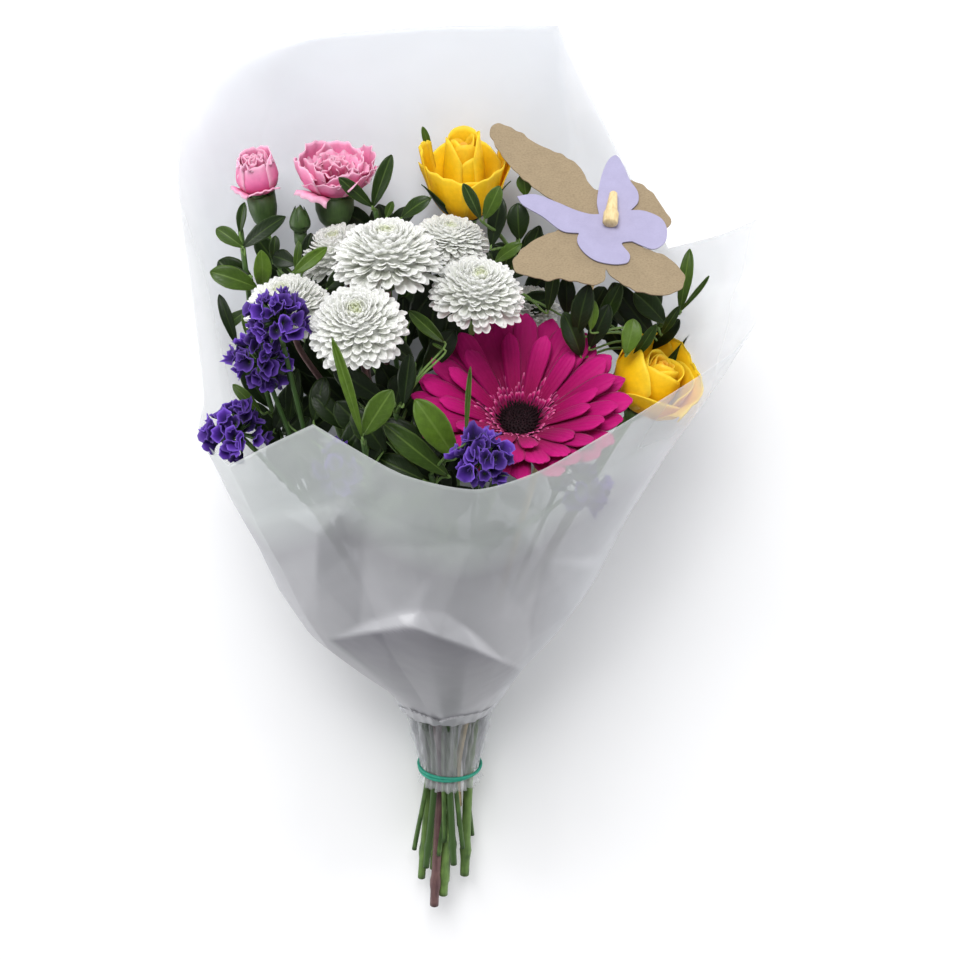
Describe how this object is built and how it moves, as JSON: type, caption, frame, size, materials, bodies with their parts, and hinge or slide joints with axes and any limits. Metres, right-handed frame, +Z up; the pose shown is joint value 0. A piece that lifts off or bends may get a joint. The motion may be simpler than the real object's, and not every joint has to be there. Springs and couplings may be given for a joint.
{
  "type": "mixed flower bouquet",
  "caption": "Mixed bouquet of cut flowers in a cone of frosted film, tied round the stems, with a card butterfly on a stick; it lies on its back.",
  "frame": {"origin": "on the surface it lies on, under the middle of the bouquet's box", "axes": "+Y from the cut stems to the flower heads, +Z up, away from the surface, +X across the bouquet"},
  "size_m": [0.2712, 0.478, 0.1604],
  "materials": {
    "film": "frosted, thin and translucent",
    "elastic": "satin",
    "gerbera_petal": "soft satin petal",
    "gerbera_disc": "matte, hairy",
    "rose_petal": "soft satin petal",
    "carnation_petal": "matte petal",
    "chrysanthemum_petal": "soft satin petal",
    "statice_flower": "dry papery flower",
    "green_stem": "smooth plant stem",
    "brown_stem": "woody plant stem",
    "leaf": "waxy leaf",
    "kraft_card": "matte card",
    "lilac_card": "matte card",
    "wood": "bare wood"
  },
  "bodies": {
    "root": {"wrapper_film": "film", "elastic_tie": "elastic", "gerbera_petals": "gerbera_petal", "gerbera_disc": "gerbera_disc", "gerbera_stem": "green_stem", "yellow_rose_top_bloom": "rose_petal", "yellow_rose_top_stem": "green_stem", "yellow_rose_right_bloom": "rose_petal", "yellow_rose_right_stem": "green_stem", "pink_carnation_small": "carnation_petal", "pink_carnation_large": "carnation_petal", "pink_carnation_bud": "carnation_petal", "carnation_stem": "green_stem", "white_chrysanthemum_1": "chrysanthemum_petal", "white_chrysanthemum_2": "chrysanthemum_petal", "white_chrysanthemum_3": "chrysanthemum_petal", "white_chrysanthemum_4": "chrysanthemum_petal", "white_chrysanthemum_5": "chrysanthemum_petal", "white_chrysanthemum_6": "chrysanthemum_petal", "white_chrysanthemum_7": "chrysanthemum_petal", "chrysanthemum_stem_left": "brown_stem", "chrysanthemum_stem_right": "green_stem", "statice_cluster_upper": "statice_flower", "statice_cluster_middle": "statice_flower", "statice_cluster_left": "statice_flower", "statice_cluster_inner_left": "statice_flower", "statice_cluster_front": "statice_flower", "statice_cluster_inner_right": "statice_flower", "statice_stem_left": "green_stem", "statice_stem_front": "green_stem", "butterfly_card_kraft": "kraft_card", "butterfly_card_lilac": "lilac_card", "butterfly_peg": "wood", "butterfly_stick": "wood", "greenery_left": "leaf", "greenery_under_carnations": "leaf", "greenery_top": "leaf", "greenery_under_rose": "leaf", "greenery_right": "leaf", "greenery_front_left": "leaf", "greenery_front_centre": "leaf", "greenery_middle": "leaf"}
  },
  "joints": []
}
